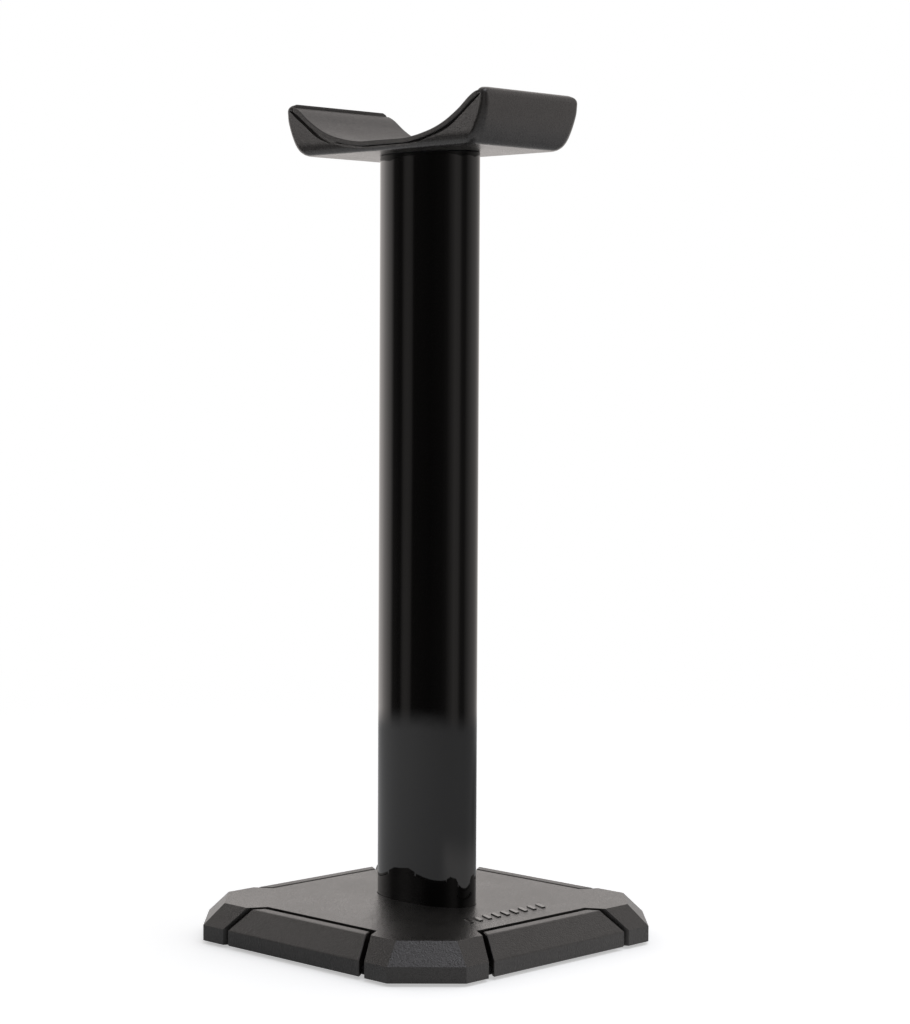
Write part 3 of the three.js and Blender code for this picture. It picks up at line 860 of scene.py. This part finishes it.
def sum_of(a, b_):
    g = nt.nodes.new("ShaderNodeAddShader")
    nt.links.new(a, g.inputs[0])
    nt.links.new(b_, g.inputs[1])
    return g.outputs[0]


# as seen directly: pale paper with the soft shadow, fading into white
seen = blend_of(f.smooth(dist, 0.12, 0.75, 0.0, 1.0), sum_of(b.outputs[0], glow_of(FLOOR_FILL)), glow_of(1.0))
# as light for the object: brighter just in front and to the right, grey under one end of the cradle, the room beyond
near_front = f("MULTIPLY", f.smooth(f("MULTIPLY", sp.outputs["Y"], -1.0), 0.0, 0.07, 0.0, 0.36), f.smooth(dist, 0.14, 0.22, 1.0, 0.0))
shift = nt.nodes.new("ShaderNodeVectorMath")
shift.operation = "DISTANCE"
nt.links.new(c, shift.inputs[0])
shift.inputs[1].default_value = (0.27, -0.01, 0.0)
patch = f.smooth(shift.outputs["Value"], 0.09, 0.24, 0.45, 0.0)
card = glow_of(0.05)
lit = sum_of(b.outputs[0], glow_of(near_front, WARM))
felt = blend_of(patch, lit, card)
felt = blend_of(f.smooth(dist, 0.48, 0.58, 0.0, 1.0), felt, glow_of(round_about, WARM))
lp = nt.nodes.new("ShaderNodeLightPath")
nt.links.new(blend_of(lp.outputs["Is Camera Ray"], felt, seen), nt.nodes["Material Output"].inputs["Surface"])
bm = bmesh.new()
bmesh.ops.create_grid(bm, x_segments=8, y_segments=8, size=4.0)
floor = to_object(bm, "floor")
floor.data.materials.append(m)

world = bpy.data.worlds.new("studio")
scene.world = world
world.use_nodes = True
nt = world.node_tree
nt.nodes.clear()
out = nt.nodes.new("ShaderNodeOutputWorld")
tc = nt.nodes.new("ShaderNodeTexCoord")
w = Sums(nt)
sp, round_about = w.compass(tc.outputs["Generated"])
roof = nt.nodes.new("ShaderNodeMix")
roof.data_type = "FLOAT"
nt.links.new(w.smooth(sp.outputs["Z"], 0.45, 0.80, 0.0, 1.0), roof.inputs[0])
nt.links.new(round_about, roof.inputs[2])
nt.links.new(w("ADD", w.smooth(sp.outputs["X"], 0.1, 0.6, 0.0, 0.40), 0.34), roof.inputs[3])
bg_light = nt.nodes.new("ShaderNodeBackground")
nt.links.new(roof.outputs[0], bg_light.inputs["Strength"])
bg_light.inputs["Color"].default_value = WARM
bg_seen = nt.nodes.new("ShaderNodeBackground")
bg_seen.inputs["Color"].default_value = (1, 1, 1, 1)
bg_seen.inputs["Strength"].default_value = 1.0
lp = nt.nodes.new("ShaderNodeLightPath")
mix = nt.nodes.new("ShaderNodeMixShader")
nt.links.new(lp.outputs["Is Camera Ray"], mix.inputs[0])
nt.links.new(bg_light.outputs[0], mix.inputs[1])
nt.links.new(bg_seen.outputs[0], mix.inputs[2])
nt.links.new(mix.outputs[0], out.inputs["Surface"])


def softbox(name, loc, target, sx, sy, power, colour=(1, 1, 1)):
    l = bpy.data.lights.new(name, "AREA")
    l.shape = "RECTANGLE"
    l.size, l.size_y = sx, sy
    l.energy = power
    l.color = colour
    o = bpy.data.objects.new(name, l)
    scene.collection.objects.link(o)
    o.location = loc
    d = Vector(target) - Vector(loc)
    o.rotation_euler = d.to_track_quat("-Z", "Y").to_euler()
    o.visible_camera = False
    return o


softbox("top_light", (0.04, -0.34, 1.56), (0, 0, 0.05), 0.85, 0.85, 6.2, (0.93, 0.93, 1.0))
softbox("side_card", (-0.47, 0.42, 0.365), (-0.02, -0.02, 0.25), 0.34, 0.13, 0.36, (1.0, 0.95, 0.92))

# ---------------------------------------------------------------------- camera
K = 0.95 * MM
F_PX, DIST, EL, AZ, YAW, PITCH, ROLL = 2656.76, 891.148, 12.125, -45.182, -0.583, 3.121, 0.300
el, az = math.radians(EL), math.radians(AZ)
back = Vector((math.sin(az) * math.cos(el), -math.cos(az) * math.cos(el), math.sin(el)))
pos = back * DIST * K + Vector((0, 0, LIFT))
h, pt = math.radians(AZ + YAW), math.radians(PITCH)
fwd = -Vector((math.sin(h) * math.cos(pt), -math.cos(h) * math.cos(pt), math.sin(pt)))
right = fwd.cross(Vector((0, 0, 1))).normalized()
upv = right.cross(fwd)
r = math.radians(ROLL)
R2 = right * math.cos(r) + upv * math.sin(r)
U2 = -right * math.sin(r) + upv * math.cos(r)
cam_data = bpy.data.cameras.new("camera")
cam_data.sensor_fit = "AUTO"
cam_data.sensor_width = 36.0
cam_data.lens = 36.0 * F_PX / 1024.0
cam_data.clip_end = 20.0
cam = bpy.data.objects.new("camera", cam_data)
scene.collection.objects.link(cam)
mat = Matrix.Identity(4)
for i in range(3):
    mat[i][0], mat[i][1], mat[i][2], mat[i][3] = R2[i], U2[i], -fwd[i], pos[i]
cam.matrix_world = mat
scene.camera = cam
scene.view_settings.view_transform = "Standard"
scene.view_settings.look = "None"
